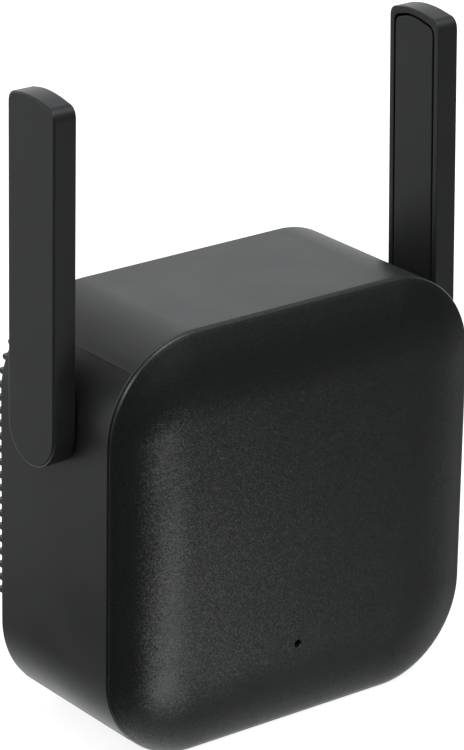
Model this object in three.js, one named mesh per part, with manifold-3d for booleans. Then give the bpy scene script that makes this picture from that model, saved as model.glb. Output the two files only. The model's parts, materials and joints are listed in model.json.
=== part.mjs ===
// Plug-in wifi range extender with two folding antennas.
// Millimetres, +Z up, -Y is the domed front, +Y points into the wall.
// The origin is the centre of the rear pad, on the plane that rests against the wall plate.
import * as THREE from 'three';
import { mergeVertices } from 'three/addons/utils/BufferGeometryUtils.js';
import Module from 'manifold-3d';

const wasm = await Module();
wasm.setup();

// ---------------------------------------------------------------- driving dimensions
const GAP = 0.3;                        // clearance between neighbouring pieces
const OVERLAP = 0.4;                    // how far shapes that are joined run into each other

const BODY_WIDTH = 60;
const BODY_HEIGHT = 60;
const CORNER_RADIUS = 13.3;
const CORNER_STEPS = 8;
const RIB_HEIGHT = 1.3;                 // stand-off ribs on the back
const CASING_DEPTH = 24.2;              // front edge to rear edge of the casing
const WALL = 1.8;
const CASING_REAR_Y = -RIB_HEIGHT;
const CASING_FRONT_Y = CASING_REAR_Y - CASING_DEPTH;
const GUSSET_HALF = 1.2;                // half thickness of the webs between posts and walls

const COVER_EDGE = 0.4;                 // visible edge band of the front cover
const COVER_BACK_Y = CASING_FRONT_Y - GAP;
const RIM_Y = COVER_BACK_Y - COVER_EDGE;
const DOME_RISE = 2.2;
const COVER_THICKNESS = 1.6;
const COVER_LIP_Y = CASING_FRONT_Y + 2.5;   // how far the cover's lip reaches into the casing
const LIP_THICKNESS = 1.1;
const LED_HOLE_RADIUS = 0.5;
const LED_Z = -18.3;
const SNAP_LENGTH = 6;
const SNAP_HEIGHT = 0.6;
const SNAP_DEPTH = 0.8;
const SNAP_Y = COVER_LIP_Y - 0.8;       // middle of the snaps

const BACK_INSET = WALL + GAP;
const BACK_THICKNESS = 2;
const BACK_INNER_Y = CASING_REAR_Y - BACK_THICKNESS;
const RIB_COUNT = 20;
const RIB_PITCH = 1.87;
const RIB_THICKNESS = 0.65;
const RIB_LOWEST_Z = -12.5;
const RIB_INNER_X = 18.5;
const VENT_INNER_X = 19.5;
const VENT_EDGE = 1.6;                  // solid margin outside each vent slot
const PAD_WIDTH = 31;
const PAD_HEIGHT = 18;
const LABEL_WIDTH = 25;
const LABEL_HEIGHT = 9;
const LABEL_Z = -17.5;
const LABEL_RECESS = 0.3;

const BLADE_SPACING = 12.7;
const BLADE_WIDTH = 6.35;
const BLADE_THICKNESS = 1.5;
const BLADE_REACH = 16.5;
const BLADE_TAIL_Y = -11;
const BLADE_TAPER = { length: 1.6, depth: 1.2 };
const BLADE_HOLE = { fromEnd: 5, radius: 1.5 };
const HOLDER_WIDTH = 24.6;
const HOLDER_HEIGHT = 11.6;
const HOLDER_FRONT_Y = -9;
const SOCKET_WALL = 1.2;
const SOCKET_FRONT_Y = -7.5;
const SPRING_THICKNESS = 0.5;
const SPRING_HEIGHT = 4.4;
const SPRING_FOOT_X = 14.1;
const SPRING_LEG = 0.8;

const HINGE_Y = CASING_FRONT_Y + 11.6;
const HINGE_Z = 16.35;
const HINGE_BORE = 3.3;
const BARREL_RADIUS = 3;
const BARREL_BORE = 1.1;
const BARREL_GROOVE = 2.3;
const BARREL_X = [24.2, 32.7];          // inner and outer end of the hollow pivot
const BARREL_GROOVE_X = [24.6, 25.8];
const BARREL_FLANGE_X = 31.7;
const BARREL_FLANGE = 3.8;
const CLIP_X = [24.9, 25.5];
const CLIP_RADIUS = 4.5;
const CLIP_MOUTH_HALF = 1.2;
const WASHER_X = [25.8, 26.3];
const WASHER_RADIUS = 5;
const HINGE_BOSS_X = [26.6, 29];
const HINGE_BOSS_RADIUS = 5.2;

const ANTENNA_INNER_X = 30.5;
const ANTENNA_OUTER_X = 34;
const ANTENNA_HALF_WIDTH = 5.1;
const ANTENNA_LENGTH = 45.7;            // hinge axis to tip
const ANTENNA_TIP_FALL_FRONT = 0.7;
const ANTENNA_TIP_FALL_BACK = 0.35;
const ANTENNA_TIP_CORNER = 1.3;
const ANTENNA_WALL = 0.9;
const ANTENNA_COVER = 1;
const ELEMENT_LOW = [31.8, -3, 5];      // flexible aerial inside the right antenna, from its hinge
const ELEMENT_HIGH = [32.2, 3, 42];
const ANTENNA_LEAN = { left: 0.2, right: -2 };   // degrees, forward is positive

const SCREW_PLACES = [[-13.5, 24.6], [13.5, 24.6], [-13.5, -24.6], [13.5, -24.6]];
const POST_RADIUS = 2.8;
const POST_FRONT_Y = -13;
const SCREW_SHANK = 1.05;
const SCREW_PILOT = SCREW_SHANK + GAP;
const SCREW_HEAD = 2.4;

const RADIO_BOARD_Y = -20.4;            // rear face of the radio board
const RADIO_BOARD_THICKNESS = 1.2;
const RADIO_BOARD_FRONT_Y = RADIO_BOARD_Y - RADIO_BOARD_THICKNESS;
const RADIO_SCREW_X = 24.2;
const RADIO_SCREW_Z = -6;
const RADIO_POST_REAR_Y = -10.5;
const RADIO_POST_RADIUS = 2.6;
const SHIELD = { z: 4, width: 26, height: 22, depth: 2.2, sheet: 0.5, lid: 0.4 };

const POWER_BOARD_Y = -5.3;             // rear face of the power board
const POWER_BOARD_THICKNESS = 1.4;
const POWER_BOARD_FRONT_Y = POWER_BOARD_Y - POWER_BOARD_THICKNESS;
const POWER_BOARD_HALF = [22.5, 21.2];
const POWER_SCREW_X = 20;
const POWER_SCREW_Z = -17.6;
const POWER_POST_RADIUS = 2.4;
const SUPPORT = { x: 17, z: 15, radius: 1.4 };
const TRANSFORMER_X = -10;
const TRANSFORMER_Z = 15.2;
const CHOKE_X = -11.5;
const CHOKE_Z = -14.4;
const CHOKE_HEIGHT = 5.4;
const BULK_CAPACITOR = { x: [1.4, 15.4], z: 15.4, radius: 4.5 };
const OUTPUT_CAPACITOR = { x: 9.5, z: -12.6, radius: 3.15, length: 10 };
const FUSE = { x: 18.4, z: 4, radius: 1.9, length: 7 };
const COMPONENT_Y = POWER_BOARD_FRONT_Y - GAP;

const RESET_X = 13;
const RESET_Y = -18.6;
const RESET_PINHOLE = 0.8;
const RESET_BUTTON_RADIUS = 0.9;

const COAX_RADIUS = 0.6;

// ---------------------------------------------------------------- materials
function material(color, roughness, metalness = 0) {
  return new THREE.MeshStandardMaterial({ color, roughness, metalness });
}

const texturedBlack = material(0x26272a, 0.55);
const satinBlack = material(0x2c2d30, 0.42);
const innerBlack = material(0x202124, 0.6);
const whiteNylon = material(0xd9d6cc, 0.5);
const nickel = material(0xc8c6bf, 0.28, 1);
const steel = material(0x9a9a98, 0.35, 1);
const brass = material(0xc6a45a, 0.32, 1);
const greenBoard = material(0x1f5a3a, 0.5);
const ferrite = material(0x3a3a3c, 0.7);
const yellowTape = material(0xd7b23a, 0.55);
const copper = material(0xb4703c, 0.35, 1);
const amberFlex = material(0xa8662a, 0.45);
const blueEpoxy = material(0x2b5fa8, 0.4);
const blackSleeve = material(0x1b1b1d, 0.35);
const padGrey = material(0x8f959c, 0.8);
const clearPlastic = material(0xe6ecef, 0.15);

// ---------------------------------------------------------------- solid helpers
function toSolid(geometry) {
  const bare = geometry.clone();
  bare.deleteAttribute('normal');
  bare.deleteAttribute('uv');
  const merged = mergeVertices(bare, 1e-4);
  return new wasm.Manifold(new wasm.Mesh({
    numProp: 3,
    vertProperties: new Float32Array(merged.attributes.position.array),
    triVerts: new Uint32Array(merged.index.array),
  }));
}

function toGeometry(solid) {
  const mesh = solid.getMesh();
  const geometry = new THREE.BufferGeometry();
  geometry.setAttribute('position', new THREE.BufferAttribute(mesh.vertProperties.slice(), 3));
  geometry.setIndex(new THREE.BufferAttribute(mesh.triVerts.slice(), 1));
  geometry.computeVertexNormals();
  return geometry;
}

// One solid from a base, with other shapes joined to it and then others cut out of it.
function carve(base, joined, removed = []) {
  let solid = toSolid(base);
  for (const piece of joined) solid = solid.add(toSolid(piece));
  for (const piece of removed) solid = solid.subtract(toSolid(piece));
  return toGeometry(solid);
}

function box(low, high) {
  const size = high.map((value, axis) => value - low[axis]);
  const geometry = new THREE.BoxGeometry(...size);
  return geometry.translate(...low.map((value, axis) => value + size[axis] / 2));
}

// A box given by its width and height about a centre on the XZ plane.
function block(x, z, width, height, yFront, yRear) {
  return box([x - width / 2, yFront, z - height / 2], [x + width / 2, yRear, z + height / 2]);
}

// A straight round bar between two points.
function rod(start, end, radius, sides = 14) {
  const from = new THREE.Vector3(...start);
  const along = new THREE.Vector3(...end).sub(from);
  const geometry = new THREE.CylinderGeometry(radius, radius, along.length(), sides);
  const turn = new THREE.Quaternion().setFromUnitVectors(
    new THREE.Vector3(0, 1, 0), along.clone().normalize());
  geometry.applyQuaternion(turn);
  const middle = from.addScaledVector(along, 0.5);
  return geometry.translate(middle.x, middle.y, middle.z);
}

// Rounded-square ring of the body's outline, drawn in by an inset, at one depth.
function bodyRing(inset, y) {
  const radius = Math.max(CORNER_RADIUS - inset, 0.6);
  const across = BODY_WIDTH / 2 - inset - radius;
  const up = BODY_HEIGHT / 2 - inset - radius;
  const ring = [];
  for (const [quarter, [sx, sz]] of [[1, 1], [-1, 1], [-1, -1], [1, -1]].entries()) {
    for (let step = 0; step <= CORNER_STEPS; step += 1) {
      const angle = (quarter + step / CORNER_STEPS) * Math.PI / 2;
      ring.push([sx * across + radius * Math.cos(angle), y, sz * up + radius * Math.sin(angle)]);
    }
  }
  return ring;
}

// Skin through a list of rings, outer surface from front to rear:
// capped at both ends, or joined last to first.
function loft(rings, joinEnds) {
  const count = rings[0].length;
  const points = rings.flat();
  const faces = [];
  const spans = joinEnds ? rings.length : rings.length - 1;
  for (let level = 0; level < spans; level += 1) {
    const next = (level + 1) % rings.length;
    for (let step = 0; step < count; step += 1) {
      const a = level * count + step;
      const b = level * count + (step + 1) % count;
      const c = next * count + (step + 1) % count;
      const d = next * count + step;
      faces.push(a, c, b, a, d, c);
    }
  }
  if (!joinEnds) {
    for (const [level, flip] of [[0, false], [rings.length - 1, true]]) {
      const hub = points.length;
      points.push([0, rings[level][0][1], 0]);
      for (let step = 0; step < count; step += 1) {
        const a = level * count + step;
        const b = level * count + (step + 1) % count;
        faces.push(...(flip ? [hub, b, a] : [hub, a, b]));
      }
    }
  }
  const geometry = new THREE.BufferGeometry();
  geometry.setAttribute('position', new THREE.Float32BufferAttribute(points.flat(), 3));
  geometry.setIndex(faces);
  return geometry;
}

// A flat plate of the body's outline, from its rear face forward.
function bodyPlate(inset, yRear, yFront) {
  return loft([bodyRing(inset, yFront), bodyRing(inset, yRear)], false);
}

function roundedShape(halfWidth, halfHeight, radius) {
  const shape = new THREE.Shape();
  shape.absarc(halfWidth - radius, halfHeight - radius, radius, 0, Math.PI / 2);
  shape.absarc(radius - halfWidth, halfHeight - radius, radius, Math.PI / 2, Math.PI);
  shape.absarc(radius - halfWidth, radius - halfHeight, radius, Math.PI, Math.PI * 1.5);
  shape.absarc(halfWidth - radius, radius - halfHeight, radius, Math.PI * 1.5, Math.PI * 2);
  return shape;
}

// Extrusion of an XZ shape along Y.
function plateY(shape, yRear, yFront, curveSegments = 4) {
  const depth = yRear - yFront;
  const geometry = new THREE.ExtrudeGeometry(shape, { depth, bevelEnabled: false, curveSegments });
  geometry.applyMatrix4(new THREE.Matrix4().makeBasis(
    new THREE.Vector3(1, 0, 0), new THREE.Vector3(0, 0, 1), new THREE.Vector3(0, -1, 0)));
  return geometry.translate(0, yRear, 0);
}

// Extrusion of a YZ shape along X.
function plateX(shape, xFirst, xSecond, curveSegments = 10) {
  const depth = Math.abs(xSecond - xFirst);
  const geometry = new THREE.ExtrudeGeometry(shape, { depth, bevelEnabled: false, curveSegments });
  geometry.applyMatrix4(new THREE.Matrix4().makeBasis(
    new THREE.Vector3(0, 1, 0), new THREE.Vector3(0, 0, 1), new THREE.Vector3(1, 0, 0)));
  return geometry.translate(Math.min(xFirst, xSecond), 0, 0);
}

const model = new THREE.Group();
model.name = 'wifi_range_extender';

function addPart(name, geometry, finish, parent = model) {
  const mesh = new THREE.Mesh(geometry, finish);
  mesh.name = name;
  parent.add(mesh);
}

// ---------------------------------------------------------------- front cover
// Domed face with a thin edge band and a lip that snaps into the casing.
function frontCover() {
  const face = [[12, 1], [7.5, 0.9], [4.2, 0.69], [1.8, 0.41], [0.45, 0.16], [0, 0]];
  const profile = [
    ...face.map(([inset, share]) => [inset, RIM_Y - share * DOME_RISE]),
    [0, COVER_BACK_Y],
    [BACK_INSET, COVER_BACK_Y],
    [BACK_INSET, COVER_LIP_Y],
    [BACK_INSET + LIP_THICKNESS, COVER_LIP_Y],
    [BACK_INSET + LIP_THICKNESS, RIM_Y + 0.3],
    [7, RIM_Y - 0.75 * (DOME_RISE - COVER_THICKNESS)],
    [13, RIM_Y - DOME_RISE + COVER_THICKNESS],
  ];
  const shell = loft(profile.map(([inset, y]) => bodyRing(inset, y)), false);
  const ledHole = rod([0, RIM_Y - 4, LED_Z], [0, RIM_Y + 1, LED_Z], LED_HOLE_RADIUS, 12);
  return carve(shell, snapBlocks(0), [ledHole]);
}

// Four snaps on the outside of the cover's lip, or with a margin the pockets that they click into.
function snapBlocks(margin) {
  const start = BODY_WIDTH / 2 - BACK_INSET - 0.4;
  const far = BODY_WIDTH / 2 - BACK_INSET + SNAP_HEIGHT + margin;
  const half = SNAP_LENGTH / 2 + margin;
  const yFront = SNAP_Y - SNAP_DEPTH / 2 - margin;
  const yRear = SNAP_Y + SNAP_DEPTH / 2 + margin;
  return [
    box([start, yFront, -half], [far, yRear, half]),
    box([-far, yFront, -half], [-start, yRear, half]),
    box([-half, yFront, start], [half, yRear, far]),
    box([-half, yFront, -far], [half, yRear, -start]),
  ];
}

// ---------------------------------------------------------------- ribs and vents on the back
function ribHeights() {
  return Array.from({ length: RIB_COUNT }, (_, row) => RIB_LOWEST_Z + row * RIB_PITCH);
}

function ribBars(xInner, thickness, heights, yFront, yRear) {
  const half = BODY_WIDTH / 2 + 1;
  const middle = (xInner + half) / 2;
  return [-1, 1].flatMap((side) => heights.map(
    (z) => block(side * middle, z, half - xInner, thickness, yFront, yRear)));
}

// The bars trimmed to a region, as one solid of separate bodies.
function trimmed(bars, region) {
  let solid = toSolid(bars[0]);
  for (const bar of bars.slice(1)) solid = solid.add(toSolid(bar));
  return toGeometry(solid.intersect(toSolid(region)));
}

// ---------------------------------------------------------------- main casing
function screwPost(x, z) {
  const wallSide = Math.sign(z) * (BODY_HEIGHT / 2 - WALL / 2);
  const gussetLow = Math.min(z, wallSide);
  const gussetHigh = Math.max(z, wallSide);
  return [
    rod([x, POST_FRONT_Y, z], [x, BACK_INNER_Y - GAP, z], POST_RADIUS),
    box([x - GUSSET_HALF, POST_FRONT_Y, gussetLow],
      [x + GUSSET_HALF, BACK_INNER_Y - GAP, gussetHigh]),
  ];
}

function radioPost(side) {
  const x = side * RADIO_SCREW_X;
  const wallX = side * (BODY_WIDTH / 2 - WALL / 2);
  const yFront = RADIO_BOARD_Y + GAP;
  return [
    rod([x, yFront, RADIO_SCREW_Z], [x, RADIO_POST_REAR_Y, RADIO_SCREW_Z], RADIO_POST_RADIUS),
    box([Math.min(x, wallX), yFront, RADIO_SCREW_Z - GUSSET_HALF],
      [Math.max(x, wallX), RADIO_POST_REAR_Y, RADIO_SCREW_Z + GUSSET_HALF]),
  ];
}

function mainCasing() {
  const sleeve = loft([
    bodyRing(0, CASING_FRONT_Y),
    bodyRing(0, CASING_REAR_Y),
    bodyRing(WALL, CASING_REAR_Y),
    bodyRing(WALL, CASING_FRONT_Y),
  ], true);
  const rimBand = loft([
    bodyRing(0, CASING_REAR_Y - OVERLAP),
    bodyRing(0, 0),
    bodyRing(WALL, 0),
    bodyRing(WALL, CASING_REAR_Y - OVERLAP),
  ], true);
  const bars = ribBars(RIB_INNER_X, RIB_THICKNESS, ribHeights(), CASING_REAR_Y - OVERLAP / 2, 1);
  const teeth = trimmed(bars, rimBand);
  const joined = [teeth];
  const removed = [];
  for (const [x, z] of SCREW_PLACES) {
    joined.push(...screwPost(x, z));
    removed.push(rod([x, POST_FRONT_Y + WALL - GAP, z], [x, 0, z], SCREW_PILOT, 10));
  }
  for (const side of [-1, 1]) {
    joined.push(...radioPost(side));
    const x = side * RADIO_SCREW_X;
    removed.push(rod([x, RADIO_BOARD_Y - 1, RADIO_SCREW_Z], [x, -13, RADIO_SCREW_Z], SCREW_PILOT, 10));
    joined.push(rod([side * HINGE_BOSS_X[0], HINGE_Y, HINGE_Z],
      [side * HINGE_BOSS_X[1], HINGE_Y, HINGE_Z], HINGE_BOSS_RADIUS, 20));
    removed.push(rod([side * 25, HINGE_Y, HINGE_Z], [side * 32, HINGE_Y, HINGE_Z], HINGE_BORE, 20));
  }
  removed.push(rod([RESET_X, RESET_Y, -32], [RESET_X, RESET_Y, -25], RESET_PINHOLE, 10));
  removed.push(...snapBlocks(GAP));
  return carve(sleeve, joined, removed);
}

// ---------------------------------------------------------------- rear cover
function rearCover() {
  const plate = bodyPlate(BACK_INSET, CASING_REAR_Y, BACK_INNER_Y);
  const heights = ribHeights();
  const ribRegion = bodyPlate(BACK_INSET, 0, CASING_REAR_Y - OVERLAP);
  const ribs = trimmed(
    ribBars(RIB_INNER_X, RIB_THICKNESS, heights, CASING_REAR_Y - OVERLAP / 2, 1), ribRegion);
  const slotHeights = heights.slice(1).map((z) => z - RIB_PITCH / 2);
  const slotRegion = bodyPlate(BACK_INSET + VENT_EDGE, 1, BACK_INNER_Y - 1);
  const slots = trimmed(
    ribBars(VENT_INNER_X, RIB_PITCH - RIB_THICKNESS, slotHeights, BACK_INNER_Y - 1, 1), slotRegion);
  const pad = plateY(roundedShape(PAD_WIDTH / 2, PAD_HEIGHT / 2, 4), 0, CASING_REAR_Y - OVERLAP);
  const socketMargin = 2 * (GAP + SOCKET_WALL);
  const socketWall = block(0, 0, HOLDER_WIDTH + socketMargin, HOLDER_HEIGHT + socketMargin,
    SOCKET_FRONT_Y, CASING_REAR_Y - OVERLAP);
  const joined = [ribs, pad, socketWall];
  const removed = [
    slots,
    block(0, 0, HOLDER_WIDTH + 2 * GAP, HOLDER_HEIGHT + 2 * GAP, -12, BACK_INNER_Y),
    block(0, LABEL_Z, LABEL_WIDTH, LABEL_HEIGHT, CASING_REAR_Y - LABEL_RECESS, 1),
  ];
  for (const side of [-1, 1]) {
    removed.push(block(side * BLADE_SPACING / 2, 0,
      BLADE_THICKNESS + 2 * GAP, BLADE_WIDTH + 2 * GAP, -20, 1));
    joined.push(rod([side * POWER_SCREW_X, POWER_BOARD_Y + GAP, POWER_SCREW_Z],
      [side * POWER_SCREW_X, CASING_REAR_Y - OVERLAP, POWER_SCREW_Z], POWER_POST_RADIUS));
    removed.push(rod([side * POWER_SCREW_X, -12, POWER_SCREW_Z],
      [side * POWER_SCREW_X, CASING_REAR_Y - 0.9, POWER_SCREW_Z], SCREW_PILOT, 10));
    joined.push(rod([side * SUPPORT.x, POWER_BOARD_Y + GAP, SUPPORT.z],
      [side * SUPPORT.x, CASING_REAR_Y - OVERLAP, SUPPORT.z], SUPPORT.radius, 10));
  }
  for (const [x, z] of SCREW_PLACES) {
    removed.push(rod([x, -6, z], [x, 1, z], SCREW_PILOT, 12));
    removed.push(rod([x, CASING_REAR_Y - 1.2, z], [x, 1, z], SCREW_HEAD + GAP, 16));
  }
  return carve(plate, joined, removed);
}

// ---------------------------------------------------------------- plug
function blade(side) {
  const x = side * BLADE_SPACING / 2;
  const half = BLADE_WIDTH / 2;
  const outline = new THREE.Shape();
  outline.moveTo(BLADE_TAIL_Y, -half);
  outline.lineTo(BLADE_REACH - BLADE_TAPER.length, -half);
  outline.lineTo(BLADE_REACH, BLADE_TAPER.depth - half);
  outline.lineTo(BLADE_REACH, half - BLADE_TAPER.depth);
  outline.lineTo(BLADE_REACH - BLADE_TAPER.length, half);
  outline.lineTo(BLADE_TAIL_Y, half);
  const hole = new THREE.Path();
  hole.absarc(BLADE_REACH - BLADE_HOLE.fromEnd, 0, BLADE_HOLE.radius, 0, Math.PI * 2);
  outline.holes.push(hole);
  return plateX(outline, x - BLADE_THICKNESS / 2, x + BLADE_THICKNESS / 2, 6);
}

function bladeHolder() {
  const body = block(0, 0, HOLDER_WIDTH, HOLDER_HEIGHT, HOLDER_FRONT_Y, BACK_INNER_Y - GAP);
  const slots = [-1, 1].map((side) => block(side * BLADE_SPACING / 2, 0,
    BLADE_THICKNESS + 2 * GAP, BLADE_WIDTH + 2 * GAP, -20, 0));
  return carve(body, [], slots);
}

// Bent leaf from the tail of a blade to the power board.
function contactSpring(side) {
  const inner = BLADE_SPACING / 2 + BLADE_THICKNESS / 2 + GAP;
  const outline = new THREE.Shape();
  outline.moveTo(inner, BLADE_TAIL_Y);
  outline.lineTo(inner + SPRING_THICKNESS, BLADE_TAIL_Y);
  outline.lineTo(inner + SPRING_THICKNESS, HOLDER_FRONT_Y - SPRING_LEG);
  outline.lineTo(SPRING_FOOT_X + SPRING_THICKNESS, HOLDER_FRONT_Y - SPRING_LEG);
  outline.lineTo(SPRING_FOOT_X + SPRING_THICKNESS, COMPONENT_Y);
  outline.lineTo(SPRING_FOOT_X, COMPONENT_Y);
  outline.lineTo(SPRING_FOOT_X, HOLDER_FRONT_Y - GAP);
  outline.lineTo(inner, HOLDER_FRONT_Y - GAP);
  const geometry = new THREE.ExtrudeGeometry(outline, { depth: SPRING_HEIGHT, bevelEnabled: false });
  geometry.translate(0, 0, -SPRING_HEIGHT / 2);
  return side > 0 ? geometry : geometry.rotateY(Math.PI);
}

function addPlug() {
  for (const [name, side] of [['left', -1], ['right', 1]]) {
    addPart(`plug_blade_${name}`, blade(side), nickel);
    addPart(`contact_spring_${name}`, contactSpring(side), brass);
  }
  addPart('blade_holder', bladeHolder(), whiteNylon);
}

// ---------------------------------------------------------------- power supply
function powerBoard() {
  const outline = roundedShape(...POWER_BOARD_HALF, 5);
  const plate = plateY(outline, POWER_BOARD_Y, POWER_BOARD_FRONT_Y);
  const plugWindow = block(0, 0, 28, 15.4, -12, 0);
  const screwHoles = [-1, 1].map((side) => rod([side * POWER_SCREW_X, -12, POWER_SCREW_Z],
    [side * POWER_SCREW_X, 0, POWER_SCREW_Z], SCREW_PILOT, 10));
  return carve(plate, [], [plugWindow, ...screwHoles]);
}

function transformerCore() {
  const body = block(TRANSFORMER_X, TRANSFORMER_Z, 15, 11, COMPONENT_Y - 11.4, COMPONENT_Y);
  const windingSpace = block(TRANSFORMER_X, TRANSFORMER_Z, 9.6, 30, COMPONENT_Y - 9.2, COMPONENT_Y - 2);
  return carve(body, [], [windingSpace]);
}

function transformerWinding() {
  const outline = roundedShape(4.5, 6.2, 1.2);
  return plateY(outline, COMPONENT_Y - 2.3, COMPONENT_Y - 8.9, 2)
    .translate(TRANSFORMER_X, 0, TRANSFORMER_Z);
}

function chokeRing() {
  const top = CHOKE_HEIGHT;
  const profile = [[2.2, 0.6], [2.8, 0], [5, 0], [5.6, 0.6], [5.6, top - 0.6], [5, top], [2.8, top],
    [2.2, top - 0.6]];
  const points = [...profile, profile[0]].map(([radius, height]) => new THREE.Vector2(radius, height));
  const ring = new THREE.LatheGeometry(points, 18);
  return ring.translate(CHOKE_X, COMPONENT_Y - CHOKE_HEIGHT, CHOKE_Z);
}

// Round component that stands on the front of the power board.
function standing({ x, z, radius, length }, sides) {
  return rod([x, COMPONENT_Y - length, z], [x, COMPONENT_Y, z], radius, sides);
}

function addPowerSupply() {
  addPart('power_board', powerBoard(), greenBoard);
  addPart('transformer_core', transformerCore(), ferrite);
  addPart('transformer_winding', transformerWinding(), yellowTape);
  const bulk = BULK_CAPACITOR;
  const bulkY = COMPONENT_Y - bulk.radius - 0.1;
  addPart('bulk_capacitor', rod([bulk.x[0], bulkY, bulk.z], [bulk.x[1], bulkY, bulk.z], bulk.radius, 18),
    blackSleeve);
  addPart('output_capacitor', standing(OUTPUT_CAPACITOR, 16), blackSleeve);
  addPart('inrush_fuse', standing(FUSE, 14), padGrey);
  addPart('bridge_rectifier', block(-18, 4, 4.6, 5.2, COMPONENT_Y - 2.2, COMPONENT_Y), ferrite);
  addPart('choke', chokeRing(), copper);
  addPart('safety_capacitor', plateY(roundedShape(2, 4.4, 1.4), COMPONENT_Y, COMPONENT_Y - 8, 3)
    .translate(0.2, 0, -14), blueEpoxy);
  addPart('board_header', block(9, -19.3, 9, 2.2, RADIO_BOARD_Y + GAP, COMPONENT_Y), innerBlack);
}

// ---------------------------------------------------------------- radio board
function radioBoard() {
  const plate = bodyPlate(WALL + 0.8, RADIO_BOARD_Y, RADIO_BOARD_FRONT_Y);
  const screwHoles = [-1, 1].map((side) => rod([side * RADIO_SCREW_X, -24, RADIO_SCREW_Z],
    [side * RADIO_SCREW_X, -15, RADIO_SCREW_Z], SCREW_PILOT, 10));
  return carve(plate, [], screwHoles);
}

function shieldCan() {
  const rear = RADIO_BOARD_FRONT_Y - GAP;
  const { z, width, height, depth, sheet, lid } = SHIELD;
  const hollow = block(0, z, width - 2 * sheet, height - 2 * sheet, rear - depth + lid, rear + 1);
  return carve(block(0, z, width, height, rear - depth, rear), [], [hollow]);
}

function resetSwitch() {
  const yRear = RESET_Y + 1.6;
  const yFront = RADIO_BOARD_Y + GAP;
  const body = box([RESET_X - 3, yFront, -25.9], [RESET_X + 3, yRear, -22.4]);
  const pocket = rod([RESET_X, RESET_Y, -28], [RESET_X, RESET_Y, -24.3], RESET_BUTTON_RADIUS + GAP, 12);
  return carve(body, [], [pocket]);
}

function addRadio() {
  addPart('radio_board', radioBoard(), greenBoard);
  addPart('rf_shield', shieldCan(), steel);
  addPart('thermal_pad', block(0, 0, 15, 15, RADIO_BOARD_Y + GAP, RADIO_BOARD_Y + 0.9), padGrey);
  addPart('heat_spreader', block(0, 0, 28, 17, RADIO_BOARD_Y + 1.2, RADIO_BOARD_Y + 2), steel);
  const front = RADIO_BOARD_FRONT_Y - GAP;
  addPart('status_led', block(0, LED_Z, 1.6, 1.6, front - 0.8, front), clearPlastic);
  addPart('light_pipe', rod([0, front - 1.1, LED_Z], [0, RIM_Y - 0.2, LED_Z], 1, 12), clearPlastic);
  addPart('reset_switch', resetSwitch(), innerBlack);
  addPart('reset_button', rod([RESET_X, RESET_Y, -27.6], [RESET_X, RESET_Y, -25], RESET_BUTTON_RADIUS, 12),
    whiteNylon);
}

// ---------------------------------------------------------------- antennas
// Blade outline on the YZ plane about the hinge axis, drawn in by an inset.
function antennaOutline(inset) {
  const half = ANTENNA_HALF_WIDTH - inset;
  const tip = ANTENNA_LENGTH - inset;
  const front = tip - ANTENNA_TIP_FALL_FRONT;
  const back = tip - ANTENNA_TIP_FALL_BACK;
  const corner = ANTENNA_TIP_CORNER;
  const shape = new THREE.Shape();
  shape.absarc(0, 0, half, Math.PI, Math.PI * 2);
  shape.lineTo(half, back - corner);
  shape.quadraticCurveTo(half, back, half - corner, back + 0.1);
  shape.quadraticCurveTo(0.8, tip + 0.25, corner - half, front + 0.15);
  shape.quadraticCurveTo(-half, front, -half, front - corner);
  return shape;
}

function antennaShell(side) {
  const slab = plateX(antennaOutline(0), side * ANTENNA_INNER_X, side * ANTENNA_OUTER_X);
  const cavity = plateX(antennaOutline(ANTENNA_WALL), side * (ANTENNA_INNER_X - 1),
    side * (ANTENNA_OUTER_X - ANTENNA_WALL));
  return carve(slab, [], [cavity]);
}

function antennaCover(side) {
  const plate = plateX(antennaOutline(ANTENNA_WALL + GAP), side * ANTENNA_INNER_X,
    side * (ANTENNA_INNER_X + ANTENNA_COVER));
  const hole = rod([side * 29, 0, 0], [side * 33, 0, 0], HINGE_BORE, 20);
  return carve(plate, [], [hole]);
}

// Hollow pivot with a flange held inside the antenna and a groove for the clip.
function hingeBarrel(side) {
  const profile = [
    [BARREL_BORE, BARREL_X[0]], [BARREL_RADIUS, BARREL_X[0]],
    [BARREL_RADIUS, BARREL_GROOVE_X[0]], [BARREL_GROOVE, BARREL_GROOVE_X[0]],
    [BARREL_GROOVE, BARREL_GROOVE_X[1]], [BARREL_RADIUS, BARREL_GROOVE_X[1]],
    [BARREL_RADIUS, BARREL_FLANGE_X], [BARREL_FLANGE, BARREL_FLANGE_X],
    [BARREL_FLANGE, BARREL_X[1]], [BARREL_BORE, BARREL_X[1]],
  ];
  const points = [...profile, profile[0]].map(([radius, x]) => new THREE.Vector2(radius, x));
  return new THREE.LatheGeometry(points, 20).rotateZ(-side * Math.PI / 2);
}

function ringX(outer, inner, xFirst, xSecond, sides) {
  const shape = new THREE.Shape().absarc(0, 0, outer, 0, Math.PI * 2);
  shape.holes.push(new THREE.Path().absarc(0, 0, inner, 0, Math.PI * 2));
  return plateX(shape, xFirst, xSecond, sides);
}

function retainingClip(side) {
  const ring = ringX(CLIP_RADIUS, BARREL_GROOVE + GAP, side * CLIP_X[0], side * CLIP_X[1], 14);
  const mouth = box([-40, -CLIP_RADIUS - 1, -CLIP_MOUTH_HALF], [40, 0, CLIP_MOUTH_HALF]);
  return carve(ring, [], [mouth]);
}

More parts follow.
